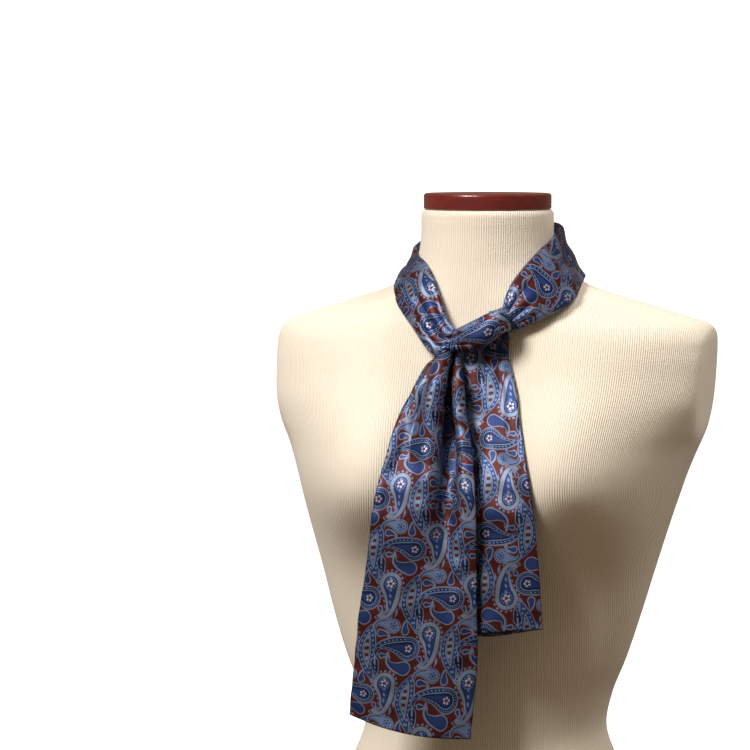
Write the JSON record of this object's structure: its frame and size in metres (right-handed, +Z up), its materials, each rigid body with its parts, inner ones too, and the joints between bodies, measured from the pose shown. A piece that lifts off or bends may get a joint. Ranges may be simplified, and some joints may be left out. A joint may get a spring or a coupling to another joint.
{
  "type": "silk scarf on dress form",
  "caption": "Long paisley silk tie scarf knotted round the neck of a limbless dress form that stands on its flat base.",
  "frame": {"origin": "centre of the bounding box in X and Y, on the plane that the dress form stands on", "axes": "+Z up from the flat base to the neck cap, -Y the front of the form, where the knot and the tails are, +X on the right seen from the front"},
  "size_m": [0.3862, 0.2744, 0.7],
  "materials": {
    "jersey": "matt fine-ribbed cotton jersey, cream",
    "cap_wood": "polished reddish mahogany",
    "silk": "satin sheen silk twill with a blue, grey-blue and white paisley print on rust"
  },
  "bodies": {
    "root": {"form_body": "jersey", "neck_cap": "cap_wood", "collar_left": "silk", "collar_back": "silk", "collar_right": "silk", "knot_wrap": "silk", "tail_long": "silk", "tail_short": "silk"}
  },
  "joints": []
}
